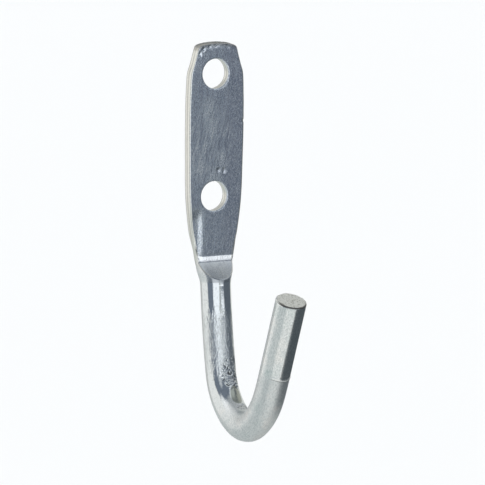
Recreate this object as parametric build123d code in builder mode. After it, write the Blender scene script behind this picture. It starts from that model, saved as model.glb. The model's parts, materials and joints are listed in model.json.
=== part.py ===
"""Two-hole J hook, forged and bent from one length of round steel bar.

Millimetres, +Z up. The origin is the centre of the two-hole pattern, on the back of the plate.
The back of the plate lies on Y = 0 with the wall on the +Y side, and the hook reaches out along -Y.
The bar and the holes are centred on X = 0. The pressed plate spreads a little further to +X.
"""

from build123d import *

import os
from math import cos, radians, sin

# Bar
bar_d = 9.5
bar_r = bar_d / 2

# Mounting plate, pressed flat from the bar
plate_t = 3.2
plate_edge_r = 0.8
plate_offset = 0.6
hole_pitch = 38.0
hole_d = 9.2
hole_rim_r = 0.3
plate_top_z = 28.7
corner_x, corner_z = 7.1, 27.3
flank_x, flank_z = 9.1, 20.0
widest_x, widest_z = 9.75, 4.0
waist_x, waist_z = 9.2, -21.0

# Shoulder, where the plate swells back into the round bar under a pressed ramp
shoulder_x, shoulder_z = 6.7, -37.0
shoulder_side_y = -2.0
shoulder_back_r = 1.6
ramp_angle = 45.0
ramp_foot_r = 2.5
ramp_length = 11.0

# Shank: the bar leaves the wall with a lean that grows on the way down
bar_start_z = -46.5
lean_at_shoulder = 5.2
lean_at_bend = 11.8
shank_length = 27.4

# Bend: wide where it leaves the shank, tight at the bottom, wide again up to the arm
heel_radius, heel_turn = 18.4, 57.0
sole_radius, sole_turn = 10.0, 55.0
toe_radius = 25.6

# Arm
arm_lean = 20.5
arm_length = 31.2
tip_r = 0.5

shank_turn = lean_at_bend - lean_at_shoulder
shank_radius = shank_length / radians(shank_turn)
toe_turn = 180 - arm_lean - lean_at_bend - heel_turn - sole_turn
bar_start = Plane(
    origin=(0, -bar_r, bar_start_z),
    x_dir=(1, 0, 0),
    z_dir=(0, -sin(radians(lean_at_shoulder)), -cos(radians(lean_at_shoulder))),
)
plate_face = Plane.XZ.move(Location((plate_offset, 0, 0)))

# Plate: crowned top, bowed sides, rounded long edges and two punched holes
with BuildPart() as plate:
    with BuildSketch(plate_face):
        with BuildLine():
            ThreePointArc((-corner_x, corner_z), (0, plate_top_z), (corner_x, corner_z))
            side = Spline(
                (corner_x, corner_z),
                (flank_x, flank_z),
                (widest_x, widest_z),
                (waist_x, waist_z),
                (shoulder_x, shoulder_z),
            )
            mirror(side, about=Plane.YZ)
            Line((-shoulder_x, shoulder_z), (shoulder_x, shoulder_z))
        make_face()
    extrude(amount=plate_t)
    fillet(plate.edges().filter_by(GeomType.LINE, reverse=True), radius=plate_edge_r)
    with BuildSketch(Plane.XZ):
        with GridLocations(0, hole_pitch, 1, 2):
            Circle(hole_d / 2)
    extrude(amount=plate_t, mode=Mode.SUBTRACT)
    front_rims = plate.edges().filter_by(GeomType.CIRCLE).group_by(Axis.Y)[0]
    fillet(front_rims, radius=hole_rim_r)

# Shoulder: round at the bar, a flat-backed D at the plate, with the ramp pressed into its front
with BuildPart() as shoulder:
    with BuildSketch(bar_start):
        Circle(bar_r)
    with BuildSketch(Plane.XY.move(Location((plate_offset, 0, shoulder_z)))) as wide_end:
        with BuildLine():
            ThreePointArc((-shoulder_x, shoulder_side_y), (0, -bar_d), (shoulder_x, shoulder_side_y))
            Polyline(
                (-shoulder_x, shoulder_side_y),
                (-shoulder_x, 0),
                (shoulder_x, 0),
                (shoulder_x, shoulder_side_y),
            )
        make_face()
        fillet(wide_end.vertices().group_by(Axis.Y)[-1], radius=shoulder_back_r)
    loft()
    with BuildSketch(Plane.YZ):
        with BuildLine():
            foot = JernArc((-plate_t, shoulder_z), (0, -1), ramp_foot_r, -ramp_angle)
            ramp = Line(foot @ 1, foot @ 1 + (foot % 1) * ramp_length)
            Polyline(ramp @ 1, ((ramp @ 1).Y, shoulder_z), foot @ 0)
        make_face()
    extrude(amount=2 * shoulder_x, both=True, mode=Mode.SUBTRACT)

# Hook: shank, bend and arm swept as one round bar, then joined to the shoulder and the plate
with BuildPart() as hook:
    with BuildLine(Plane.YZ) as bar_line:
        shank = JernArc((-bar_r, bar_start_z), bar_start.z_dir, shank_radius, -shank_turn)
        heel = JernArc(shank @ 1, shank % 1, heel_radius, -heel_turn)
        sole = JernArc(heel @ 1, heel % 1, sole_radius, -sole_turn)
        toe = JernArc(sole @ 1, sole % 1, toe_radius, -toe_turn)
        arm = Line(toe @ 1, toe @ 1 + (toe % 1) * arm_length)
    with BuildSketch(bar_start):
        Circle(bar_r)
    sweep(path=bar_line.line)
    fillet(hook.edges().filter_by(GeomType.CIRCLE).sort_by(Axis.Y)[0], radius=tip_r)
    add(shoulder.part)
    add(plate.part)

hook.part.label = "hook"
os.makedirs("parts", exist_ok=True)
export_step(hook.part, "parts/hook.step")
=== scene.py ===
"""Two-hole J hook: the forged skin, its bright zinc finish and the studio it is shown in.

One round steel bar is pressed flat at its upper end into a plate with two punched holes, and bent
below into an open J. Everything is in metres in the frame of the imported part: +Z is up, the back
of the plate is on Y = 0 and the hook reaches out along -Y.
"""

import json
import math

import bmesh
import bpy
import numpy as np
from mathutils import Matrix, Vector


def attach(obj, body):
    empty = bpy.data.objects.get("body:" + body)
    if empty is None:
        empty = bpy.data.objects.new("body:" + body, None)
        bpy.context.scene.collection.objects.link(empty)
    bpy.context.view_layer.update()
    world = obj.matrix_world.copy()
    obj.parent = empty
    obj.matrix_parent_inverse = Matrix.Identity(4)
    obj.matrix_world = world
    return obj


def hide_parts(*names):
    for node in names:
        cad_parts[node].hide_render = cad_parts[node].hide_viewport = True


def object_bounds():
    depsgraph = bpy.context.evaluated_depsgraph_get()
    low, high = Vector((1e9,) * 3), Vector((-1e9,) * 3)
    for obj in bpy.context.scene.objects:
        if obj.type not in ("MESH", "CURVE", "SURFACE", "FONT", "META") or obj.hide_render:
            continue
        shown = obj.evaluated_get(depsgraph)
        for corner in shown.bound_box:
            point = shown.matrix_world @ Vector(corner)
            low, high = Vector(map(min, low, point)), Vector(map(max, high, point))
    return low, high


bl_info = {
    "name": "Forged J Hook",
    "version": (1, 0, 0),
    "blender": (4, 5, 0),
    "location": "View3D > Sidebar > J Hook",
    "description": "Builds a zinc plated two-hole J hook and a plain studio round it",
    "category": "Object",
}

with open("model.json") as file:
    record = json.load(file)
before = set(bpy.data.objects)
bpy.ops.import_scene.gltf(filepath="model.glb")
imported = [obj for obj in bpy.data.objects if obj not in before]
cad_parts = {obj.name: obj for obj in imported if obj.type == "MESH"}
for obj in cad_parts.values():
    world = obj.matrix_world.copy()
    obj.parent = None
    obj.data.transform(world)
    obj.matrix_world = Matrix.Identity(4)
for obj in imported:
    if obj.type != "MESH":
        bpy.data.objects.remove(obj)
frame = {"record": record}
cad_low, cad_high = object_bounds()
screw_holes = next(m for m in frame["record"]["mounts"] if m["kind"] == "bolt_pattern")["dims"]

MM = 0.001
# Points across the front and the back of a row round the hook, and down each of its sides.
FRONT_COLUMNS = 48
SIDE_COLUMNS = 16
LOOP = 2 * (FRONT_COLUMNS + SIDE_COLUMNS)


def length(name, text, millimetres):
    """A size in metres whose default is given in millimetres."""
    return bpy.props.FloatProperty(
        name=name, description=text, default=millimetres * MM, min=0, precision=5, unit="LENGTH"
    )


def angle(name, text, degrees):
    """An angle whose default is given in degrees."""
    return bpy.props.FloatProperty(
        name=name, description=text, default=math.radians(degrees), unit="ROTATION"
    )


def share(name, text, value, top=1.0):
    """A plain number from zero up to top."""
    return bpy.props.FloatProperty(name=name, description=text, default=value, min=0, max=top)


def colour(name, text, value):
    """A linear colour."""
    return bpy.props.FloatVectorProperty(
        name=name, description=text, default=value, min=0, max=1, size=3, subtype="COLOR"
    )


class HookSizes(bpy.types.PropertyGroup):
    """Sizes of the forging."""

    bar_diameter: length("Bar diameter", "Round steel bar that the hook is made from", 9.5)
    plate_thickness: length("Plate thickness", "Thickness of the pressed plate", 3.2)
    plate_half_width: length("Plate half width", "Half the plate's width at its widest", 9.72)
    plate_offset: length("Plate offset", "How far the pressed plate spreads to one side", 0.6)
    edge_depth: length("Edge depth", "How far the plate's rounded edge reaches in", 0.5)
    crown_drop: length("Crown drop", "Fall of the top edge from its middle to its corners", 1.4)
    end_slope: length("End slope", "Fall of the sheared top end from back to front", 0.2)
    hole_diameter: length("Hole diameter", "Punched screw holes", 2 * screw_holes["hole_r_mm"])
    hole_pitch: length("Hole pitch", "Between the hole centres", screw_holes["spacing_y_mm"])
    shoulder_height: length("Shoulder height", "From between the holes down to the ramp", 37.0)
    bar_start: length("Bar start", "From between the holes down to the full round bar", 46.5)
    foot_run: length("Foot run", "Height of the shallow foot under the plate", 1.75)
    foot_curve: length("Foot curve", "Height over which the foot turns into the ramp", 0.6)
    shank_length: length("Shank length", "Bar from the shoulder to the bend", 27.4)
    heel_radius: length("Heel radius", "Centre line radius where the shank turns", 18.4)
    sole_radius: length("Sole radius", "Centre line radius at the bottom of the bend", 10.0)
    toe_radius: length("Toe radius", "Centre line radius where the bend turns into the arm", 24.4)
    settle_length: length("Settle length", "Nearly straight bar from the bend to the seam", 7.75)
    arm_length: length("Arm length", "Straight bar from the seam to the sheared tip", 25.4)
    tip_round: length("Tip rounding", "Rounding of the rim of the sheared tip", 0.5)
    foot_angle: angle("Foot angle", "Slope of the shallow foot", 7.8)
    ramp_angle: angle("Ramp angle", "Slope of the pressed ramp", 49.5)
    ramp_hollow: angle("Ramp hollow", "Steepening of the ramp, to each side of its slope", 6.5)
    lean_at_shoulder: angle("Lean at shoulder", "Forward lean of the bar under the plate", 5.2)
    lean_at_bend: angle("Lean at bend", "Forward lean of the bar above the bend", 11.8)
    heel_turn: angle("Heel turn", "Turn made at the heel radius", 57.0)
    sole_turn: angle("Sole turn", "Turn made at the sole radius", 55.0)
    settle_turn: angle("Settle turn", "Turn made between the bend and the seam", 3.0)
    arm_lean: angle("Arm lean", "Forward lean of the arm", 20.5)


class HookFinish(bpy.types.PropertyGroup):
    """Relief and colours of the plated skin."""

    ripple: length("Ripple", "Height of the slow unevenness left by forging", 0.035)
    bite: length("Bite", "Height of the gripping marks inside the bend", 0.42)
    shear: length("Shear", "Roughness of the sheared ends", 0.3)
    seed: bpy.props.IntProperty(name="Seed", description="Pattern of the relief", default=7, min=0)
    zinc: colour("Zinc", "Bright zinc on the bar", (0.80, 0.83, 0.84))
    blue_zinc: colour("Blue zinc", "Zinc on the pressed plate", (0.76, 0.82, 0.89))
    # Painted highlight: a lighter, warmer tint on the plate's edges, the ramp's rim and the hole
    # walls.
    edge_highlight: colour("Edge highlight", "Zinc round the plate's edge", (0.86, 0.855, 0.81))
    dull_zinc: colour("Dull zinc", "Zinc on the sheared ends", (0.97, 0.97, 0.93))
    bar_roughness: share("Bar roughness", "Roughness of the drawn bar", 0.10)
    plate_roughness: share("Plate roughness", "Roughness of the pressed plate", 0.20)
    end_roughness: share("End roughness", "Roughness of the sheared ends", 0.48)


class StudioSettings(bpy.types.PropertyGroup):
    """Camera, floor and light."""

    azimuth: angle("Azimuth", "Camera's turn to the hook's left", 30.0)
    elevation: angle("Elevation", "Camera's height above the horizon", 9.5)
    roll: angle("Roll", "Camera's turn about its own axis", 0.77)
    distance: length("Distance", "Camera to the shoulder of the hook", 1056.0)
    lens: share("Lens", "Focal length in millimetres", 251.8, 1000.0)
    aim_right: length("Aim right", "Picture centre, to the right of the shoulder", 10.75)
    aim_up: length("Aim up", "Picture centre, above the shoulder", 12.37)
    floor_drop: length("Floor drop", "Floor below the lowest point of the hook", 60.0)
    floor: colour("Floor", "Pale floor", (0.86, 0.86, 0.86))
    lamp: share("Lamp", "Strength of the overhead lamp", 2.05, 100.0)
    lamp_spread: angle("Lamp spread", "How wide the overhead lamp is seen from below", 50.0)


# ---- Node graphs --------


def both_ways(operation):
    """An arithmetic operator of a wire, and its reflected form."""
    return (
        lambda self, other: self.graph.math(operation, self, other),
        lambda self, other: self.graph.math(operation, other, self),
    )


class Wire:
    """A node socket that can be used in ordinary arithmetic."""

    __add__, __radd__ = both_ways("ADD")
    __sub__, __rsub__ = both_ways("SUBTRACT")
    __mul__, __rmul__ = both_ways("MULTIPLY")
    __truediv__, __rtruediv__ = both_ways("DIVIDE")
    __pow__, __rpow__ = both_ways("POWER")

    def __init__(self, graph, socket):
        self.graph = graph
        self.socket = socket

    def beside(self, output):
        """Another output of the same node, by its name or number."""
        return Wire(self.graph, self.socket.node.outputs[output])


def opaque(value):
    """A colour with its fourth number."""
    return (*value, 1.0)


class Graph:
    """Adds nodes to one shader or geometry tree and links them."""

    def __init__(self, tree):
        self.tree = tree

    @classmethod
    def of(cls, block):
        """The emptied graph of a new material or world."""
        block.use_nodes = True
        block.node_tree.nodes.clear()
        return cls(block.node_tree)

    def node(self, kind, sockets=None, output=0, **settings):
        """One node: its settings first, then values or wires for its sockets.

        Gives a wire from the chosen output, or None where the node ends the graph.
        """
        made = self.tree.nodes.new(kind)
        for name, value in settings.items():
            setattr(made, name, value)
        for key, value in (sockets or {}).items():
            self.feed(made.inputs[key], value)
        return Wire(self, made.outputs[output]) if made.outputs else None

    def feed(self, socket, value):
        """Links a wire to a socket, or sets the socket's own value."""
        if isinstance(value, Wire):
            self.tree.links.new(value.socket, socket)
        else:
            socket.default_value = value

    def math(self, operation, *values):
        return self.node("ShaderNodeMath", dict(enumerate(values)), operation=operation)

    def both(self, one, other):
        """The larger of two masks."""
        return self.math("MAXIMUM", one, other)

    def band(self, value, low, high):
        """0 below low and 1 above high, smooth between. Low may be the larger."""
        sockets = {"Value": value, "From Min": low, "From Max": high}
        return self.node("ShaderNodeMapRange", sockets, interpolation_type="SMOOTHSTEP")

    def window(self, value, low, high, soft):
        """1 between low and high, fading over soft outside them."""
        return self.band(value, low - soft, low) * self.band(value, high + soft, high)

    def vector(self, x, y, z=0.0):
        return self.node("ShaderNodeCombineXYZ", {"X": x, "Y": y, "Z": z})

    def noise(self, vector, scale, detail=2.0, roughness=0.5, seed=0.0):
        """Cloudy noise, 0 to 1."""
        sockets = {"Vector": vector, "W": seed, "Scale": scale}
        sockets.update({"Detail": detail, "Roughness": roughness})
        return self.node("ShaderNodeTexNoise", sockets, noise_dimensions="4D")

    def mix_colour(self, factor, one, other):
        """Blends two colours: a Mix node's sockets 6 and 7, and its output 2."""
        sockets = {0: factor, 6: one, 7: other}
        return self.node("ShaderNodeMix", sockets, output=2, data_type="RGBA")

    def layered(self, base, layers):
        """Lays colours over a base, each through its own mask."""
        for mask, over in layers:
            base = self.mix_colour(mask, base, opaque(over))
        return base


# ---- Outlines and lines of the forging --------


def ease(value, low, high):
    """0 at low and beyond, 1 at high and beyond, smooth between."""
    t = np.clip((value - low) / (high - low), 0.0, 1.0)
    return t * t * (3.0 - 2.0 * t)


def spaced(points, fractions):
    """Points of a polyline at the given fractions of its length."""
    steps = np.linalg.norm(np.diff(points, axis=0), axis=1)
    run = np.concatenate([[0.0], np.cumsum(steps)])
    where = np.asarray(fractions) * run[-1]
    return np.stack([np.interp(where, run, points[:, k]) for k in range(points.shape[1])], axis=1)


def smooth_through(places, values, at):
    """A smooth curve through a few values, level at its start, read at many places."""
    slope = np.gradient(values, places)
    slope[0] = 0.0
    i = np.clip(np.searchsorted(places, at) - 1, 0, len(places) - 2)
    gap = places[i + 1] - places[i]
    t = (at - places[i]) / gap
    rise = (2 * t**3 - 3 * t**2 + 1) * values[i] + (3 * t**2 - 2 * t**3) * values[i + 1]
    lean = (t**3 - 2 * t**2 + t) * slope[i] + (t**3 - t**2) * slope[i + 1]
    return rise + gap * lean


def ring_turns():
    """Angle of each point of a row round the bar, from the middle of its front."""
    return 2 * math.pi * (np.arange(LOOP) - FRONT_COLUMNS / 2) / LOOP


class Forging:
    """Works out the hook's surface, in metres, as rows of LOOP points."""

    plate_step = 0.42 * MM
    shoulder_step = 0.2 * MM
    bar_step = 0.27 * MM
    bend_blend = 1.5 * MM
    press_blend = 0.6 * MM
    edge_fullness = 0.5
    shoulder_belly = 3.0 * MM
    foot_rise = -0.45 * MM
    ramp_run = 4.6 * MM
    ramp_fall = 11 * MM
    front_share = 0.375
    corner_x = 7.1 * MM
    crown_reach = 10 * MM

    def __init__(self, sizes):
        self.s = sizes
        self.radius = sizes.bar_diameter / 2
        self.top = cad_high.z - 0.02 * MM
        self.back = cad_high.y
        self.ramp_drops = np.linspace(0, self.ramp_fall, 441)
        foot, curve = sizes.foot_run, sizes.foot_run + sizes.foot_curve
        places = (0, foot / 4, foot, curve, curve + self.ramp_run)
        turns = (0, sizes.foot_angle, sizes.foot_angle)
        turns += (sizes.ramp_angle - sizes.ramp_hollow, sizes.ramp_angle + sizes.ramp_hollow)
        slopes = np.tan(np.interp(self.ramp_drops, places, turns))
        step = self.ramp_drops[1]
        self.ramp_rises = np.concatenate([[0.0], np.cumsum((slopes[1:] + slopes[:-1]) / 2 * step)])

    def half_width(self, height):
        """Half the width of the plate and shoulder at a height."""
        w, r = self.s.plate_half_width, self.radius
        places = np.array([
            -self.s.bar_start, -42.0 * MM, -self.s.shoulder_height, -30 * MM, -21 * MM, -8 * MM,
            4 * MM, 13 * MM, 20 * MM, 24.5 * MM, self.top,
        ])
        shares = np.array([0.0, 0.17, 0.39, 0.66, 0.885, 0.975, 1.0, 0.975, 0.88, 0.68, 0.42])
        return smooth_through(places, r + shares * (w - r), height)

    def plate_outline(self, height):
        """Outline across the flat plate: x, and depth in front of the wall."""
        t, e = self.s.plate_thickness, self.s.edge_depth
        w = float(self.half_width(height))
        turn = np.linspace(math.pi / 2, -math.pi / 2, 181)
        bulge = np.abs(np.cos(turn)) ** self.edge_fullness
        rise = np.sign(np.sin(turn)) * np.abs(np.sin(turn)) ** self.edge_fullness
        edge = np.stack([w - e + e * bulge, t / 2 + t / 2 * rise], axis=1)
        edge = spaced(edge, np.linspace(0, 1, SIDE_COLUMNS + 1))
        x = np.linspace(-(w - e), w - e, FRONT_COLUMNS + 1)
        front = np.stack([x, np.full_like(x, t)], axis=1)
        back = np.stack([-x, np.zeros_like(x)], axis=1)
        left = np.stack([-edge[::-1, 0], edge[::-1, 1]], axis=1)
        return np.concatenate([front[:-1], edge[:-1], back[:-1], left[:-1]])

    def ramp_depth(self, height):
        """Depth that the pressing tool leaves on the wall: the plate, its foot and the ramp."""
        drop = max(self.foot_rise - self.s.shoulder_height - height, 0.0)
        return self.s.plate_thickness + float(np.interp(drop, self.ramp_drops, self.ramp_rises))

    def shoulder_outline(self, height):
        """Outline across the swelled bar, with the ramp pressed into its front."""
        r = self.radius
        wide = float(ease(height, -self.s.bar_start, -self.s.shoulder_height))
        belly = r * (1 - wide) + self.shoulder_belly * wide
        reach = 2 * r - math.sin(self.s.lean_at_shoulder) * (height + self.s.bar_start)
        turn = np.linspace(-math.pi, math.pi, 1441)
        behind = np.abs(turn) > math.pi / 2
        power = np.where(behind, 2 / (2 + 3 * wide), 1.0)
        x = float(self.half_width(height)) * np.sign(np.sin(turn)) * np.abs(np.sin(turn)) ** power
        out = np.sign(np.cos(turn)) * np.abs(np.cos(turn)) ** power
        q = belly + np.where(behind, belly, reach - belly) * out
        pressed, k = self.ramp_depth(height), self.press_blend
        h = np.clip(0.5 + 0.5 * (pressed - q) / k, 0.0, 1.0)
        q = pressed * (1 - h) + q * h - k * h * (1 - h)
        half = self.front_share / 2
        stops = (-half, half, 0.5 - half, 0.5 + half, 1 - half)
        counts = (FRONT_COLUMNS, SIDE_COLUMNS) * 2
        sides = zip(stops, stops[1:], counts)
        round_bar = np.concatenate([np.linspace(*side, endpoint=False) for side in sides])
        return spaced(np.stack([x, q], axis=1), (round_bar + 0.5) % 1.0)

    def plate_rows(self):
        """Rows down the plate and shoulder, with the height of each."""
        s = self.s
        on_plate = np.arange(self.top, -s.shoulder_height, -self.plate_step)
        on_shoulder = np.arange(-s.shoulder_height, -s.bar_start, -self.shoulder_step)
        heights = np.concatenate([on_plate, on_shoulder])
        rows = []
        for z in heights:
            outline = self.plate_outline(z) if z > -s.shoulder_height else self.shoulder_outline(z)
            mixed = float(ease(z, -s.shoulder_height + 7 * MM, -s.shoulder_height))
            if 0 < mixed and z > -s.shoulder_height:
                outline = outline * (1 - mixed) + self.shoulder_outline(z) * mixed
            x, q = outline[:, 0], outline[:, 1]
            top = float(ease(z, self.top - self.crown_reach, self.top))
            reach = np.abs(x) / self.corner_x
            crown = s.crown_drop * top * (0.6 * reach**2 + 0.5 * reach**8)
            slope = s.end_slope * top**4 * q / s.plate_thickness
            lean = s.lean_at_shoulder * float(ease(z, -s.shoulder_height, -s.bar_start))
            offset = s.plate_offset * float(ease(z, -s.bar_start, -s.shoulder_height))
            forward = q - self.radius
            up = z - crown - slope + math.sin(lean) * forward
            out = self.radius + math.cos(lean) * forward
            rows.append(np.stack([x + offset, self.back - out, up], axis=1))
        return np.array(rows), heights

    def bar_line(self):
        """Centre line of the round bar: y, z, angle of travel from straight down, and distance."""
        s = self.s
        toe_turn = math.pi - s.arm_lean - s.lean_at_bend - s.heel_turn - s.sole_turn - s.settle_turn
        spans = [
            (s.shank_length, s.lean_at_bend - s.lean_at_shoulder),
            (s.heel_radius * s.heel_turn, s.heel_turn),
            (s.sole_radius * s.sole_turn, s.sole_turn),
            (s.toe_radius * toe_turn, toe_turn),
            (s.settle_length, s.settle_turn),
            (s.arm_length, 0.0),
        ]
        ends, turned = np.concatenate([[(0.0, 0.0)], np.cumsum(spans, axis=0)]).T
        turned = s.lean_at_shoulder + turned
        along = np.linspace(0.0, ends[-1], int(round(ends[-1] / self.bar_step)) + 1)
        shifts = np.linspace(-self.bend_blend, self.bend_blend, 17)
        lean = np.mean([np.interp(along + shift, ends, turned) for shift in shifts], axis=0)
        middle = (lean[1:] + lean[:-1]) / 2
        step = along[1]
        y = self.back - self.radius - np.concatenate([[0.0], np.cumsum(step * np.sin(middle))])
        z = -s.bar_start - np.concatenate([[0.0], np.cumsum(step * np.cos(middle))])
        return y, z, lean, along

    def bar_rows(self):
        """Rows round the bar, with the distance of each along it and the tip's travel."""
        y, z, lean, along = self.bar_line()
        turn = ring_turns()
        across, inward = self.radius * np.sin(turn), self.radius * np.cos(turn)
        x = np.broadcast_to(across, (len(along), LOOP))
        rows_y = y[:, None] - np.cos(lean)[:, None] * inward
        rows_z = z[:, None] + np.sin(lean)[:, None] * inward
        return np.stack([x, rows_y, rows_z], axis=2), along, lean[-1]


class Skin:
    """Collects the points and faces of the closed hook.

    Each point also keeps its place on the bar laid straight: across, in front of the wall side,
    and down from the middle of the hole pattern.
    """

    def __init__(self):
        self.points, self.straight, self.cut, self.edge, self.faces = [], [], [], [], []
        self.count = 0

    def add(self, points, straight, cut=0.0, edge=0.0):
        """Stores a grid of points and returns their numbers in the same grid."""
        shape = points.shape[:-1]
        size = int(np.prod(shape))
        self.points.append(points.reshape(-1, 3))
        self.straight.append(straight.reshape(-1, 3))
        self.cut.append(np.full(size, cut))
        self.edge.append(np.broadcast_to(edge, shape).reshape(-1))
        self.count += size
        return np.arange(self.count - size, self.count).reshape(shape)

    def straight_of(self, numbers):
        return np.concatenate(self.straight)[numbers]

    def points_of(self, numbers):
        return np.concatenate(self.points)[numbers]

    def sheet(self, grid, closed=False, skip=None):
        """Faces between neighbours of a grid of numbers, except those that skip marks."""
        right = np.roll(grid, -1, axis=1) if closed else grid[:, 1:]
        left = grid if closed else grid[:, :-1]
        quads = np.stack([left[:-1], left[1:], right[1:], right[:-1]], axis=2)
        if skip is not None:
            quads = quads[~skip]
        self.faces.extend(quads.reshape(-1, 4).tolist())

    def round_end(self, ring, outward, axes, rim, steps=4):
        """Rounds the rim of an end from its last full ring and closes it with a cut face."""
        base, laid = self.points_of(ring), self.straight_of(ring)
        along = np.roll(base, -1, axis=0) - np.roll(base, 1, axis=0)
        inward = np.cross(along, outward)
        inward /= np.linalg.norm(inward, axis=1)[:, None]
        if np.sum(inward * (base.mean(axis=0) - base)) < 0:
            inward = -inward
        rings = [ring]
        for step in range(1, steps + 1):
            turn = math.pi / 2 * step / steps
            move = outward * rim * math.sin(turn) + inward * rim * (1 - math.cos(turn))
            rings.append(self.add(base + move, laid + move @ axes.T, step / steps))
        self.sheet(np.array(rings), closed=True)
        self.close_face(rings[-1])

    def close_face(self, ring):
        """Fills a ring with a grid whose sides are the hook's front, right, back and left."""
        n, m = FRONT_COLUMNS, SIDE_COLUMNS
        front, right = ring[: n + 1], ring[n : n + m + 1]
        back = ring[n + m : 2 * n + m + 1][::-1]
        left = np.append(ring[2 * n + m :], ring[0])[::-1]
        u = np.linspace(0, 1, n + 1)[:, None, None]
        v = np.linspace(0, 1, m + 1)[None, :, None]

        def patch(values):
            """Values blended from the four sides."""
            near, far = values(front), values(back)
            sides = (1 - u) * values(left)[None] + u * values(right)[None]
            across = (1 - v) * near[:, None] + v * far[:, None] + sides
            first, last = (1 - v) * near[0] + v * far[0], (1 - v) * near[-1] + v * far[-1]
            return across - ((1 - u) * first + u * last)

        points, straight = patch(self.points_of), patch(self.straight_of)
        grid = np.zeros((n + 1, m + 1), dtype=int)
        grid[:, 0], grid[:, -1], grid[0], grid[-1] = front, back, left, right
        grid[1:-1, 1:-1] = self.add(points[1:-1, 1:-1], straight[1:-1, 1:-1], 1.0)
        self.sheet(grid)

    def mesh(self, name):
        """The finished mesh, with its faces pointing outwards."""
        mesh = bpy.data.meshes.new(name)
        points = np.concatenate(self.points)
        mesh.from_pydata(points.tolist(), [], self.faces)
        straight = mesh.attributes.new("straight", "FLOAT_VECTOR", "POINT")
        straight.data.foreach_set("vector", np.concatenate(self.straight).ravel())
        for mask, values in (("cut", self.cut), ("edge", self.edge)):
            kept = mesh.attributes.new(mask, "FLOAT", "POINT")
            kept.data.foreach_set("value", np.concatenate(values))
        shell = bmesh.new()
        shell.from_mesh(mesh)
        bmesh.ops.recalc_face_normals(shell, faces=shell.faces)
        shell.to_mesh(mesh)
        shell.free()
        mesh.shade_smooth()
        return mesh


# Plate meshed afresh round a punched hole, the hole's rounded front rim, its growth towards the
# wall, how far its back edge is broken outwards and inwards, and the rounding of the plate's top.
HOLE_MARGIN = 2.0 * MM
HOLE_RIM = 0.3 * MM
HOLE_TAPER = 0.1 * MM
HOLE_BREAK = (0.3 * MM, 0.2 * MM)
TOP_ROUND = 0.3 * MM


def punch(skin, grid, heights, centre, sizes):
    """Makes one hole through the plate: adds its rings and marks the faces it takes away."""
    radius, thick = sizes.hole_diameter / 2, sizes.plate_thickness
    reach = radius + HOLE_MARGIN
    first = int(np.argmin(np.abs(heights - (centre + reach))))
    last = int(np.argmin(np.abs(heights - (centre - reach))))
    x = skin.points_of(grid[(first + last) // 2, : FRONT_COLUMNS + 1])[:, 0]
    west = int(np.argmin(np.abs(x + reach)))
    east = int(np.argmin(np.abs(x - reach)))
    rows = np.arange(first, last + 1)
    columns = np.arange(west, east + 1)
    edge = [(first, c) for c in columns[:-1]] + [(r, east) for r in rows[:-1]]
    edge += [(last, c) for c in columns[:0:-1]] + [(r, west) for r in rows[:0:-1]]
    behind = 2 * FRONT_COLUMNS + SIDE_COLUMNS
    front_edge = np.array([grid[r, c] for r, c in edge])
    back_edge = np.array([grid[r, behind - c] for r, c in edge])
    place = skin.points_of(front_edge)
    turn = np.arctan2(place[:, 2] - centre, place[:, 0])

    def ring(wide, q):
        """A round ring at a depth in front of the wall, and where it lies on the straight bar."""
        y, z = np.full_like(turn, cad_high.y - q), centre + wide * np.sin(turn)
        points = np.stack([wide * np.cos(turn), y, z], axis=1)
        return points, points * (1, -1, -1)

    def joined(start, end):
        """Rings between two others, not counting those."""
        for t in np.linspace(0, 1, 7)[1:-1]:
            yield skin.add(*(one + t * (other - one) for one, other in zip(start, end)))

    def edge_of(numbers):
        return skin.points_of(numbers), skin.straight_of(numbers)

    outer = radius + HOLE_RIM
    rings = [front_edge, *joined(edge_of(front_edge), ring(outer, thick))]
    for turned in np.linspace(0, math.pi / 2, 5):
        q = thick - HOLE_RIM * (1 - math.cos(turned))
        rings.append(skin.add(*ring(outer - HOLE_RIM * math.sin(turned), q)))
    outwards, inwards = HOLE_BREAK
    for q in np.linspace(thick - HOLE_RIM, inwards, 8)[1:]:
        wide = radius + HOLE_TAPER * (1 - q / thick)
        rings.append(skin.add(*ring(wide, q), cut=0.1, edge=1.0))
    back_ring = ring(radius + outwards, 0.0)
    rings += [skin.add(*back_ring), *joined(back_ring, edge_of(back_edge)), back_edge]
    skin.sheet(np.array(rings), closed=True)
    skip = np.zeros((len(grid) - 1, LOOP), dtype=bool)
    skip[first:last, west:east] = True
    skip[first:last, behind - east : behind - west] = True
    return skip


def creased(rows):
    """1 where the outline across the bar turns sharply, 0 where it is flat or gently round."""
    steps = np.roll(rows, -1, axis=1) - rows
    way = np.arctan2(steps[..., 1], steps[..., 0])
    turn = np.abs((way - np.roll(way, 1, axis=1) + math.pi) % (2 * math.pi) - math.pi)
    slight, sharp = 0.09, 0.22
    return ease(turn, slight, sharp)


def eased_joint(rows, joint, reach=5, spread=6):
    """Rounds off the slight bend where the shoulder's rows meet the bar's."""
    smooth = rows.copy()
    for row in range(joint - spread, joint + spread + 1):
        near = 1 - ease(abs(row - joint), spread / 2, spread)
        mean = rows[row - reach : row + reach + 1].mean(axis=0)
        smooth[row] += (mean - rows[row]) * (1, 1, 0) * near
    return smooth


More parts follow.
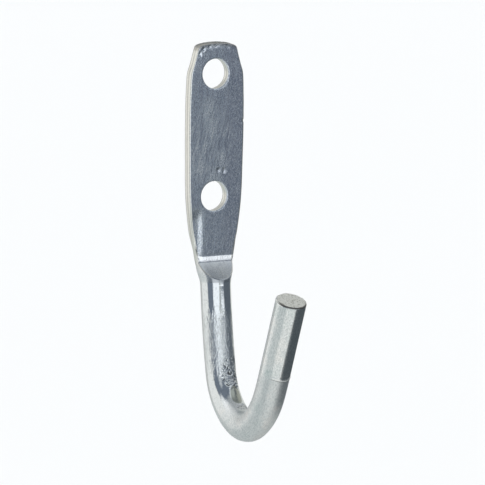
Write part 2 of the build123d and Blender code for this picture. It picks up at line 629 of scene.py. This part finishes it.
def forged_mesh(sizes):
    """The whole hook as one closed mesh, before its relief."""
    forging, skin = Forging(sizes), Skin()
    plate, heights = forging.plate_rows()
    bar, along, travel = forging.bar_rows()
    plate[0, :, 2] -= TOP_ROUND
    tip = np.array([0, -math.sin(travel), -math.cos(travel)])
    kept = len(bar) - 1 - math.ceil(sizes.tip_round / forging.bar_step)
    bar[kept] = bar[-1] - tip * sizes.tip_round
    bar, along = bar[: kept + 1], along[: kept + 1]
    laid_plate = plate * (1, -1, 1)
    laid_plate[..., 2] = -heights[:, None]
    turn = ring_turns()
    laid_bar = np.empty_like(bar)
    laid_bar[..., 0] = forging.radius * np.sin(turn)
    laid_bar[..., 1] = forging.radius * (1 + np.cos(turn))
    laid_bar[..., 2] = sizes.bar_start + along[:, None]
    rows = eased_joint(np.concatenate([plate, bar]), len(plate))
    laid = np.concatenate([laid_plate, laid_bar])

    column = np.arange(LOOP) % (LOOP // 2) - FRONT_COLUMNS
    side = np.clip(np.minimum(column, SIDE_COLUMNS - column) + 1, 0, 2) / 2
    down = np.append(-heights, np.full(len(bar), sizes.bar_start))
    fade = 1 - ease(down, sizes.shoulder_height, sizes.bar_start - 3 * MM)
    # The ramp's rim joins the edge mask, so it takes the edge's painted highlight.
    painted_rim = creased(laid[..., :2]) * (laid[..., 1] > sizes.plate_thickness + 0.4 * MM)
    painted_rim *= ((down > sizes.shoulder_height) & (down < sizes.bar_start))[:, None]
    grid = skin.add(rows, laid, edge=np.maximum(fade[:, None] * side, painted_rim))
    skip = np.zeros((len(grid) - 1, LOOP), dtype=bool)
    for centre in (sizes.hole_pitch / 2, -sizes.hole_pitch / 2):
        skip |= punch(skin, grid, heights, centre, sizes)
    skin.sheet(grid, closed=True, skip=skip)
    top_axes = np.diag([1, -1, -1])
    tip_axes = np.array([[1, 0, 0], [0, -math.cos(travel), math.sin(travel)], tip])
    skin.round_end(grid[0], np.array([0, 0, 1.0]), top_axes, TOP_ROUND)
    skin.round_end(grid[-1], tip, tip_axes, sizes.tip_round)
    return skin.mesh("forged_hook")


# ---- Relief --------


# The skin is described on the bar laid straight: across, and down from between the holes.
# Ovals on it: across, down, half width and half height, in millimetres.
NICKS = (
    (1.3, 10.9, 0.75, 0.4),
    (3.3, 11.2, 0.4, 0.85),
    (-5.8, -26.2, 0.6, 0.9),
    (-4.6, -27.3, 0.8, 0.45),
    (-2.4, -27.9, 0.5, 0.4),
    (10.0, -4.2, 0.5, 0.6),
)
BITTEN = ((1.6, 75.2, 4.6, 7.0), (1.6, 91.0, 3.0, 2.8))
FACET = (1.0, 84.0, 2.4, 5.2)
# Patches rubbed rougher by wear, and also painted lighter as a sheen.
SHEEN_AND_WEAR_PATCHES = ((-2.6, 4.0, 7.0, 17.0), (-4.6, 30.0, 3.0, 8.5))
WIPED = (-1.5, 2.0, 8.5, 15.0)

# Places down it where something begins or ends, from none to whole, in millimetres.
BAR_START = (36.0, 47.0)
SHANK_START, SHANK_END = (44.0, 56.0), (90.0, 76.0)
WARM_START = (35.8, 37.6)
BEND_START = (76.0, 96.0)
DULL_START, DULL_END = (82.0, 92.0), (125.0, 122.5)
CHIPPED_TOP, SHADED_TOP = (-26.6, -28.4), (-27.4, -28.3)

# Bands of it: start, end and the fade beyond both, in millimetres.
FOOT_BAND = (37.6, 39.1, 0.5)
RAMP_BAND = (39.5, 45.0, 1.0)
FAN_BAND = (39.9, 43.6, 1.2)
RAMP_SHADE_BAND = (39.5, 45.3, 0.5)
ROLLED_BAND = (27.0, 35.5, 5.0)
DRAWN_BAND = (27.0, 35.0, 3.0)
BEATEN_BAND = (57.0, 72.0, 5.0)
RUBBED_BAND = (59.0, 70.0, 5.0)
SEAM_BAND, SEAM_SHADE_BAND = (123.75, 123.95, 0.3), (123.25, 123.35, 0.16)

# The ramp's lower tip, across and down in millimetres, and the seam's slope across the bar.
RAMP_TIP = (0.5, 48.5)
SEAM_SLOPE = 0.118
NICK_DEPTH = 0.2 * MM
SEAM_HEIGHT = 0.15 * MM
GROOVE_DEPTH = 0.05 * MM
ROLL_DEPTH = 0.34 * MM


class Straight:
    """Places on the bar laid straight, in millimetres, with masks for the hook's own parts."""

    def __init__(self, g, vector, sizes):
        self.g = g
        radius = sizes.bar_diameter / 2 / MM
        self.place = g.node("ShaderNodeVectorMath", {0: vector, 3: 1 / MM}, operation="SCALE")
        self.x = g.node("ShaderNodeSeparateXYZ", {0: self.place})
        self.q, self.a = self.x.beside(1), self.x.beside(2)
        self.bar = g.band(self.a, *BAR_START)
        self.shank = g.band(self.a, *SHANK_START) * g.band(self.a, *SHANK_END)
        self.front = g.band(self.q, 2.6, 3.0)
        self.facing = self.q / radius - 1.0
        self.round = g.math("ARCTAN2", self.x, self.q - radius) * radius
        self.bitten = g.both(*(self.spot(self.round, oval) for oval in BITTEN))
        self.facet = self.spot(self.round + (self.a - FACET[1]) * 0.12, FACET)

    def stretched(self, across, along):
        """The place scaled across and along the bar, for streaks."""
        return self.g.vector(self.x * across, self.q * across, self.a * along)

    def spot(self, side, oval):
        """1 inside an oval and 0 outside it."""
        across, down, wide, tall = oval
        reach = ((side - across) / wide) ** 2.0 + ((self.a - down) / tall) ** 2.0
        return self.g.band(reach, 1.0, 0.55)

    def ridges(self, slant, seed):
        """Sharp slanting ridges, 0 to 1."""
        g = self.g
        along, across = self.a + self.round * slant, self.a - self.round * slant
        cloud = g.noise(g.vector(along * 0.72, across * 0.17), 1.0, 1.0, seed=seed)
        return 1.0 - g.math("MINIMUM", g.math("ABSOLUTE", cloud * 2.0 - 1.0) * 4.5, 1.0)

    def teeth(self, seed):
        """The crossing ridges that gripping jaws leave."""
        return self.g.both(self.ridges(1.0, seed), self.ridges(-1.0, seed + 3.0))

    def groove(self):
        """A lengthwise line round the plate's edge, where the two pressing dies met."""
        return self.g.window(self.q, 1.45, 1.65, 0.4)

    def fan(self):
        """Fine lines that spread up the pressed ramp from its tip."""
        g = self.g
        side, rise = self.x - RAMP_TIP[0], RAMP_TIP[1] - self.a
        turn = g.math("ARCTAN2", side, rise)
        reach = g.math("SQRT", side**2.0 + rise**2.0)
        lines = g.noise(g.vector(turn * 14.0, reach * 0.25), 1.0, 2.0, seed=8.0)
        face = 1.0 - (side / 4.6) ** 2.0 * 4.0 + (45.2 - self.a) * 0.5
        return (lines - 0.5) * g.window(self.a, *FAN_BAND) * g.band(face, 0.0, 1.5) * self.front

    def seam(self, band=SEAM_BAND):
        """A thin slanting line across the outside of the arm, where the bending tool stopped."""
        line = self.g.window(self.a + self.x * SEAM_SLOPE, *band)
        return line * self.g.band(self.facing, 0.1, -0.2) * self.g.band(self.x, -3.9, -2.9)


def relief_tree(sizes):
    """Geometry nodes that raise the forge's marks on the plain hook."""
    tree = bpy.data.node_groups.new("forge_marks", "GeometryNodeTree")
    kinds = {"Hook": "Geometry", "Ripple": "Float", "Bite": "Float", "Shear": "Float",
             "Seed": "Float", "Finish": "Material"}
    for name, kind in kinds.items():
        tree.interface.new_socket(name, in_out="INPUT", socket_type="NodeSocket" + kind)
    tree.interface.new_socket("Forged", in_out="OUTPUT", socket_type="NodeSocketGeometry")
    g = Graph(tree)
    hook = g.node("NodeGroupInput")
    ripple, bite, shear, seed = (hook.beside(name) for name in ("Ripple", "Bite", "Shear", "Seed"))

    def kept(name, kind):
        return g.node("GeometryNodeInputNamedAttribute", {"Name": name}, data_type=kind)

    s = Straight(g, kept("straight", "FLOAT_VECTOR"), sizes)
    cut = kept("cut", "FLOAT")

    slow = g.noise(s.place, 0.11, 1.5, seed=seed) - 0.5
    lift = slow * ripple * 2.0
    dimples = g.noise(s.stretched(0.55, 0.3), 1.0, 1.0, seed=seed + 2.0) - 0.5
    lift = lift + dimples * ripple * s.shank

    lift = lift + (s.teeth(seed) - 1.0) * bite * s.bitten
    lift = lift - bite * 0.3 * s.facet

    rough = g.noise(s.place, 0.8, 3.0, 0.7, seed=seed + 5.0) - 0.56
    lift = lift + rough * shear * cut

    chips = g.noise(s.stretched(0.9, 0.3), 0.8, 2.0, seed=seed + 9.0) - 0.62
    lift = lift + chips * shear * (g.band(s.a, *CHIPPED_TOP) * (1.0 - cut))

    burr = cut * (1.0 - cut) * 4.0
    lumps = g.noise(s.place, 0.7, 2.0, seed=seed + 11.0) - 0.55
    lift = lift + lumps * shear * burr * s.bar * 1.8

    for nick in NICKS:
        lift = lift - s.spot(s.x, nick) * s.front * NICK_DEPTH
    lift = lift + s.seam() * SEAM_HEIGHT
    lift = lift - s.groove() * kept("edge", "FLOAT") * GROOVE_DEPTH
    roll = g.band(s.x, -3.8, -5.9) * g.window(s.a, *ROLLED_BAND) * s.front
    lift = lift - roll * ROLL_DEPTH

    normal = g.node("GeometryNodeInputNormal")
    move = g.node("ShaderNodeVectorMath", {0: normal, 3: lift}, operation="SCALE")
    moved = g.node("GeometryNodeSetPosition", {"Geometry": hook, "Offset": move})
    whole = g.node("GeometryNodeRealizeInstances", {0: moved})
    finished = g.node("GeometryNodeSetMaterial", {0: whole, "Material": hook.beside("Finish")})
    g.node("NodeGroupOutput", {"Forged": finished})
    return tree


def add_relief(piece, sizes, finish, material):
    """Runs the relief on a piece and leaves it a plain mesh."""
    modifier = piece.modifiers.new("forge_marks", "NODES")
    modifier.node_group = relief_tree(sizes)
    values = {"Ripple": finish.ripple, "Bite": finish.bite, "Shear": finish.shear,
              "Seed": float(finish.seed), "Finish": material}
    for item in modifier.node_group.interface.items_tree:
        if item.in_out == "INPUT" and item.name in values:
            modifier[item.identifier] = values[item.name]
    ready = piece.evaluated_get(bpy.context.evaluated_depsgraph_get())
    mesh = bpy.data.meshes.new_from_object(ready)
    piece.modifiers.remove(modifier)
    piece.data = mesh
    mesh.name = piece.name


# ---- Finish --------


# Tints laid over the zinc, part by part, and over the floor.
CLOUDS = (0.82, 0.87, 0.92)
DRAWN_STREAKS = (0.40, 0.42, 0.50)
FAR_SIDE_SHADE = (0.50, 0.52, 0.62)
GRAIN = (0.40, 0.43, 0.46)
PAINTED_SHEEN = (0.90, 0.97, 1.0)
BRIGHT_SPECKS, DARK_SPECKS = (0.98, 0.99, 1.0), (0.36, 0.38, 0.47)
BRIGHT_ARCS, DARK_ARCS = (0.97, 0.99, 1.0), (0.42, 0.45, 0.52)
PIT_SHADE_AND_OXIDE = (0.07, 0.07, 0.08)
RAMP_LINES = (0.40, 0.42, 0.43)
RAMP_SHADE = (0.28, 0.30, 0.33)
FOOT_HIGHLIGHT = (0.93, 0.95, 0.97)
GROOVE_LINE = (0.52, 0.50, 0.46)
DARK_BLOOM, BRIGHT_BLOOM = (0.60, 0.70, 0.69), (0.95, 0.93, 0.91)
DARK_FROST, BRIGHT_FROST = (0.50, 0.54, 0.54), (0.99, 0.99, 0.98)
FACET_SHADE = (0.29, 0.31, 0.26)
SEAM_LINE, SEAM_SHADE = (0.99, 0.99, 0.98), (0.25, 0.26, 0.26)
CRUMBS = (0.40, 0.40, 0.34)
RIM_SHADE = (0.12, 0.11, 0.10)
TOP_SHADE = (0.38, 0.36, 0.33)
FLOOR_GRAIN = (0.8, 0.8, 0.8)


class Zinc:
    """Patterns of the plating, which its colour, its roughness and its fine relief share."""

    def __init__(self, g, sizes, finish):
        def kept(name, output):
            return g.node("ShaderNodeAttribute", output=output, attribute_name=name)

        s = Straight(g, kept("straight", 1), sizes)
        self.g, self.s, self.finish = g, s, finish
        self.cut, self.edge = kept("cut", 2), kept("edge", 2)
        self.plate = 1.0 - s.bar
        self.lines = g.noise(s.stretched(2.2, 0.06), 1.0, 4.0, 0.65, seed=1.0)
        self.cloud = g.noise(s.stretched(0.28, 0.11), 1.0, 3.0, 0.6, seed=3.0)
        self.grain = g.noise(s.place, 1.5, 3.0, 0.7, seed=4.0)
        self.bloom = g.noise(s.place, 0.22, 4.0, 0.65, seed=6.0)
        self.streak = g.noise(s.stretched(1.1, 0.09), 1.0, 3.0, 0.7, seed=7.0)
        self.mottle = g.noise(s.stretched(0.9, 0.35), 1.0, 3.0, 0.7, seed=9.0)
        self.speckle = g.noise(s.stretched(3.2, 1.3), 1.0, 2.0, 0.8, seed=12.0)
        self.fan = s.fan()
        self.bend = g.band(s.a, *BEND_START)
        self.dull = g.band(s.a, *DULL_START) * g.band(s.a, *DULL_END)
        wander = g.noise(s.stretched(0.5, 0.1), 1.0, 2.0, seed=13.0) - 0.5
        self.foot = g.window(s.a + wander * 0.8, *FOOT_BAND) * s.front
        # Where the plate is worn rougher and painted with a lighter sheen.
        sheen_and_wear = g.both(*(s.spot(s.x, oval) for oval in SHEEN_AND_WEAR_PATCHES))
        patchy = g.band(self.cloud + (self.streak - 0.5) * 1.2, 0.30, 0.72)
        self.sheen_and_wear = sheen_and_wear * patchy * self.plate

    def on_plate(self):
        """Clouds, streaks, specks and wiped arcs of the pressed plate, with its painted shade and
        sheen.
        """
        g, s, plate = self.g, self.s, self.plate
        sweep = g.vector(s.x * 1.5 + s.a * 0.42, s.q, s.a * 0.16 - s.x * 0.2)
        arcs = g.noise(sweep, 1.0, 2.0, 0.6, seed=14.0)
        wiped = s.spot(s.x, WIPED) * plate
        return [
            (g.band(self.cloud, 0.42, 0.68) * plate * 0.5, CLOUDS),
            (g.band(self.streak, 0.5, 0.72) * plate * 0.6, DRAWN_STREAKS),
            # Painted shade: the plate is tinted darker towards its +X side.
            (g.band(s.x, 0.5, 6.0) * plate * 0.36, FAR_SIDE_SHADE),
            (g.band(self.grain, 0.5, 0.7) * (0.32 + plate * 0.28), GRAIN),
            # Painted sheen: the worn patches are tinted lighter, as if they caught more light.
            (self.sheen_and_wear * 0.8, PAINTED_SHEEN),
            (g.band(self.speckle, 0.47, 0.62) * plate * 0.6, BRIGHT_SPECKS),
            (g.band(self.speckle, 0.5, 0.36) * plate * 0.45, DARK_SPECKS),
            (g.band(arcs, 0.5, 0.62) * wiped * 0.85, BRIGHT_ARCS),
            (g.band(arcs, 0.48, 0.36) * wiped * 0.5, DARK_ARCS),
        ]

    def on_shoulder(self):
        """Lines and shade of the ramp, painted highlights on its foot and on the plate's edge all
        round.
        """
        g, s = self.g, self.s
        shade = g.band(s.a - s.x * 0.6, 40.0, 46.5) * g.window(s.a, *RAMP_SHADE_BAND) * s.front
        line = s.groove() * self.edge * g.band(self.bloom, 0.25, 0.5)
        return [
            (g.band(self.fan, 0.0, 0.16) * 0.3, RAMP_LINES),
            (shade * g.band(s.x, -4.6, -3.2) * 0.6, RAMP_SHADE),
            # Painted highlight across the foot of the ramp.
            (self.foot * 0.9, FOOT_HIGHLIGHT),
            # Painted highlight on the plate's edges, the ramp's rim and the hole walls.
            (self.edge, self.finish.edge_highlight),
            (line * 0.5, GROOVE_LINE),
        ]

    def on_bend(self):
        """Pits of the jaws, bloom, frost and facet of the bend, and the seam across the arm."""
        g, s, bend = self.g, self.s, self.bend
        # Painted shade and dark oxide: the pits between the jaws' ridges are tinted nearly black.
        dark_pits = s.bitten * g.band(s.teeth(float(self.finish.seed)), 0.3, 0.0)
        return [
            (dark_pits * 0.85, PIT_SHADE_AND_OXIDE),
            (g.band(self.bloom, 0.5, 0.68) * bend * 0.5, DARK_BLOOM),
            (g.band(self.bloom, 0.48, 0.32) * bend * 0.6, BRIGHT_BLOOM),
            (g.band(self.speckle, 0.45, 0.65) * bend * 0.4, DARK_FROST),
            (g.band(self.speckle, 0.5, 0.35) * bend * 0.6, BRIGHT_FROST),
            (s.facet * 0.8, FACET_SHADE),
            (s.seam() * 0.8, SEAM_LINE),
            (s.seam(SEAM_SHADE_BAND) * 0.6, SEAM_SHADE),
        ]

    def on_ends(self):
        """Crumbly sheared ends, painted shade along the back of the tip's rim, and the shaded top.
        """
        g, s, cut = self.g, self.s, self.cut
        # Painted shade: a dark line along the back of the tip's rounded rim.
        painted_rim = g.window(cut, 0.2, 0.8, 0.2) * g.band(s.facing, 0.2, -0.3) * s.bar
        return [
            (cut, self.finish.dull_zinc),
            (g.band(self.grain, 0.5, 0.64) * cut * 0.7, CRUMBS),
            (painted_rim * g.band(self.bloom, 0.3, 0.45) * 0.9, RIM_SHADE),
            (g.band(s.a, *SHADED_TOP) * 0.6, TOP_SHADE),
        ]

    def tint(self):
        """Base colour: the plate's zinc turning into the bar's, under the layers of each part."""
        blue, warm = opaque(self.finish.blue_zinc), opaque(self.finish.zinc)
        base = self.g.mix_colour(self.g.band(self.s.a, *WARM_START), blue, warm)
        layers = self.on_plate() + self.on_shoulder() + self.on_bend() + self.on_ends()
        return self.g.layered(base, layers)

    def roughness(self):
        """Sharp reflections on the drawn bar, softer where it is bent, worn or sheared."""
        g, s, finish = self.g, self.s, self.finish
        smooth = finish.plate_roughness * self.plate + finish.bar_roughness * s.bar
        smooth = smooth + self.bend * 0.05 + self.dull * 0.26 + self.sheen_and_wear * 0.07
        rubbed = g.window(s.a, *RUBBED_BAND) * g.band(s.facing, -0.6, 0.2)
        ramp = g.window(s.a, *RAMP_BAND) * s.front
        smooth = smooth + ramp * 0.14 + rubbed * 0.14 - self.foot * 0.06
        rough = smooth + (self.cloud - 0.5) * 0.12 + (self.grain - 0.5) * 0.1
        return rough * (1.0 - self.cut) + finish.end_roughness * self.cut

    def height(self):
        """Fine relief in millimetres."""
        g, s, plate, dull = self.g, self.s, self.plate, self.dull
        coarse = (0.034 * plate + 0.012) * (1.0 - self.foot * 0.65) + 0.05 * dull + 0.3 * self.cut
        height = self.lines * 0.016 + (self.grain - 0.5) * coarse
        beaten = 0.04 + 0.28 * g.window(s.a, *BEATEN_BAND)
        height = height + (self.mottle - 0.5) * s.shank * beaten + self.fan * 0.16
        height = height + (self.speckle - 0.5) * (plate + dull) * 0.008
        drawn = g.window(s.a, *DRAWN_BAND) * s.front
        return height + (self.streak - 0.5) * drawn * 0.09


def zinc_plating(sizes, finish):
    """Bright zinc: smoother and warmer on the drawn bar, satin and blue on the pressed plate."""
    material = bpy.data.materials.new("bright_zinc")
    g = Graph.of(material)
    zinc = Zinc(g, sizes, finish)
    bump = g.node("ShaderNodeBump", {"Strength": 1.0, "Distance": MM, "Height": zinc.height()})
    sockets = {"Base Color": zinc.tint(), "Metallic": 1.0, "Roughness": zinc.roughness()}
    shader = g.node("ShaderNodeBsdfPrincipled", {**sockets, "Normal": bump})
    g.node("ShaderNodeOutputMaterial", {"Surface": shader})
    return material


def pale_floor(shade):
    """Matt pale floor."""
    material = bpy.data.materials.new("pale_floor")
    g = Graph.of(material)
    place = g.node("ShaderNodeTexCoord", output=3)
    tint = g.layered(opaque(shade), [(g.noise(place, 60.0, 2.0) * 0.02, FLOOR_GRAIN)])
    sockets = {"Base Color": tint, "Roughness": 0.9, "Specular IOR Level": 0.0}
    shader = g.node("ShaderNodeBsdfPrincipled", sockets)
    g.node("ShaderNodeOutputMaterial", {"Surface": shader})
    return material


# ---- Studio --------

# What the metal sees: turn from straight ahead of the plate towards its left, height above the
# horizon, edge softness, all in degrees, and the colour of the light from there.
WALL = (0.90, 0.905, 0.885)
ALL_ROUND = 400
PANELS = (
    ("wall in shade", 160, ALL_ROUND, -90, 90, 8, (0.54, 0.55, 0.54)),
    ("wall to the right", -ALL_ROUND, -90, -90, 90, 4, (0.72, 0.73, 0.70)),
    ("dim room", -90, 90, -90, 90, 3, (0.17, 0.20, 0.245)),
    ("upper left", 0, 55, 12, 32, 5, (0.52, 0.55, 0.58)),
    ("upper right", -90, -42, 12, 32, 5, (0.38, 0.40, 0.43)),
    ("overhead left", 84, 125, 38, 76, 7, (1.0, 1.02, 1.03)),
    ("overhead right", -125, -76, 45, 80, 6, (0.34, 0.365, 0.39)),
    ("overhead right, lit", -70, -38, 42, 70, 8, (0.78, 0.82, 0.85)),
    ("soft light", -37, 48, 2, 11, 3, (1.10, 1.14, 1.18)),
    ("soft light, lower part", -8, 48, -16, 2, 3, (1.04, 1.08, 1.12)),
    ("dim right", -108, -34, -48, 12, 3, (0.115, 0.135, 0.16)),
    ("ground right", -ALL_ROUND, -16, -95, -15, 4, (0.58, 0.60, 0.59)),
    ("ground", -18, ALL_ROUND, -95, -19, 6, (0.60, 0.64, 0.635)),
    ("bright ground", -14, 58, -68, -34, 16, (0.82, 0.84, 0.82)),
    ("ceiling", -ALL_ROUND, ALL_ROUND, 70, 95, 6, (0.40, 0.42, 0.43)),
)
# A dark floor strip on the right. Beyond its corner its lower edge climbs towards the horizon.
STRIP = ("dark strip", -ALL_ROUND, -19, -48, -16, 2, (0.085, 0.10, 0.11))
STRIP_CORNER = -72
STRIP_CLIMB = 0.52
SKY = (0.97, 0.97, 0.97)
# Turns further right than this, in degrees, are counted on from the left.
RIGHTMOST = -150.0

# The lamp's tilt is in degrees, the other sizes are in metres.
LAMP_TILT = (-12, 14, 0)
FLOOR_HALF_SIDE = 12.0
CLIP_START, CLIP_END = 0.01, 50


def studio_world():
    """Large soft panels all round, and a plain pale sky behind the hook."""
    world = bpy.data.worlds.new("studio")
    g = Graph.of(world)
    x = g.node("ShaderNodeSeparateXYZ", {0: g.node("ShaderNodeTexCoord")})
    y, z = x.beside(1), x.beside(2)
    turn = g.math("ARCTAN2", x * -1.0, y * -1.0) * math.degrees(1)
    turn = turn + g.math("LESS_THAN", turn, RIGHTMOST) * 360.0
    rise = g.math("ARCSINE", z) * math.degrees(1)
    layers = [
        (g.window(turn, near, far, soft) * g.window(rise, low, high, soft), light)
        for _, near, far, low, high, soft, light in PANELS
    ]
    _, near, far, low, high, soft, light = STRIP
    climb = g.math("MAXIMUM", STRIP_CORNER - turn, 0.0) * STRIP_CLIMB
    edge = g.band(rise - climb, low - soft, low) * g.band(rise, high + soft, high)
    layers.append((g.window(turn, near, far, soft) * edge, light))
    layers.append((g.node("ShaderNodeLightPath"), SKY))
    all_round = g.layered(opaque(WALL), layers)
    sky = g.node("ShaderNodeBackground", {"Color": all_round, "Strength": 1.0})
    g.node("ShaderNodeOutputWorld", {"Surface": sky})
    return world


def placed(name, data):
    """A new object in the scene that holds the data."""
    made = bpy.data.objects.new(name, data)
    bpy.context.scene.collection.objects.link(made)
    return made


def studio_floor(settings):
    """A wide level floor below the hook."""
    shell = bmesh.new()
    bmesh.ops.create_grid(shell, x_segments=8, y_segments=8, size=FLOOR_HALF_SIDE)
    bmesh.ops.translate(shell, verts=shell.verts, vec=(0, 0, cad_low.z - settings.floor_drop))
    mesh = bpy.data.meshes.new("floor")
    shell.to_mesh(mesh)
    shell.free()
    mesh.materials.append(pale_floor(settings.floor))
    floor = placed("floor", mesh)
    floor.visible_glossy = False


def studio_light(settings):
    """One soft overhead lamp for the floor."""
    lamp = bpy.data.lights.new("overhead", "SUN")
    lamp.energy = settings.lamp
    lamp.angle = settings.lamp_spread
    holder = placed("overhead", lamp)
    holder.visible_glossy = False
    holder.rotation_euler = [math.radians(tilt) for tilt in LAMP_TILT]


def studio_camera(sizes, settings):
    """A long lens, a little above the hook and to its left."""
    turn, rise, roll = settings.azimuth, settings.elevation, -settings.roll
    level = math.cos(rise)
    back = Vector((-math.sin(turn) * level, -math.cos(turn) * level, math.sin(rise)))
    flat_right = Vector((math.cos(turn), -math.sin(turn), 0))
    flat_up = back.cross(flat_right)
    right = flat_right * math.cos(roll) - flat_up * math.sin(roll)
    up = flat_right * math.sin(roll) + flat_up * math.cos(roll)
    shoulder = Vector((0, 0, -sizes.bar_start))
    place = shoulder + back * settings.distance
    aim = shoulder + right * settings.aim_right + up * settings.aim_up
    back = (place - aim).normalized()
    right = (right - back * right.dot(back)).normalized()
    turned = Matrix((right, back.cross(right), back)).transposed().to_4x4()
    lens = bpy.data.cameras.new("camera")
    lens.lens = settings.lens
    lens.clip_start, lens.clip_end = CLIP_START, CLIP_END
    camera = placed("camera", lens)
    camera.matrix_world = Matrix.Translation(place) @ turned
    bpy.context.scene.camera = camera


# ---- Operators and panel --------


class JHOOK_OT_forge(bpy.types.Operator):
    """Make the forged hook and give it its zinc finish"""

    bl_idname = "jhook.forge"
    bl_label = "Forge the hook"

    def execute(self, context):
        sizes, finish = context.scene.jhook_sizes, context.scene.jhook_finish
        piece = placed("forged_hook", forged_mesh(sizes))
        add_relief(piece, sizes, finish, zinc_plating(sizes, finish))
        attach(piece, "root")
        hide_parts("hook")
        return {"FINISHED"}


class JHOOK_OT_studio(bpy.types.Operator):
    """Set up the floor, the light and the camera"""

    bl_idname = "jhook.studio"
    bl_label = "Set up the studio"

    def execute(self, context):
        settings = context.scene.jhook_studio
        context.scene.world = studio_world()
        context.scene.view_settings.view_transform = "Standard"
        studio_floor(settings)
        studio_light(settings)
        studio_camera(context.scene.jhook_sizes, settings)
        return {"FINISHED"}


class JHOOK_PT_sidebar(bpy.types.Panel):
    """Sizes, finish and studio of the hook"""

    bl_label = "J Hook"
    bl_space_type = "VIEW_3D"
    bl_region_type = "UI"
    bl_category = "J Hook"

    def draw(self, context):
        for group in GROUPS:
            settings, box = getattr(context.scene, group), self.layout.box()
            for name in settings.__annotations__:
                box.prop(settings, name)
        self.layout.operator(JHOOK_OT_forge.bl_idname)
        self.layout.operator(JHOOK_OT_studio.bl_idname)


GROUPS = {"jhook_sizes": HookSizes, "jhook_finish": HookFinish, "jhook_studio": StudioSettings}
CLASSES = (*GROUPS.values(), JHOOK_OT_forge, JHOOK_OT_studio, JHOOK_PT_sidebar)


def register():
    for item in CLASSES:
        bpy.utils.register_class(item)
    for name, group in GROUPS.items():
        setattr(bpy.types.Scene, name, bpy.props.PointerProperty(type=group))


def unregister():
    for name in GROUPS:
        delattr(bpy.types.Scene, name)
    for item in reversed(CLASSES):
        bpy.utils.unregister_class(item)


def main():
    register()
    bpy.ops.jhook.forge()
    bpy.ops.jhook.studio()


if __name__ == "__main__":
    main()
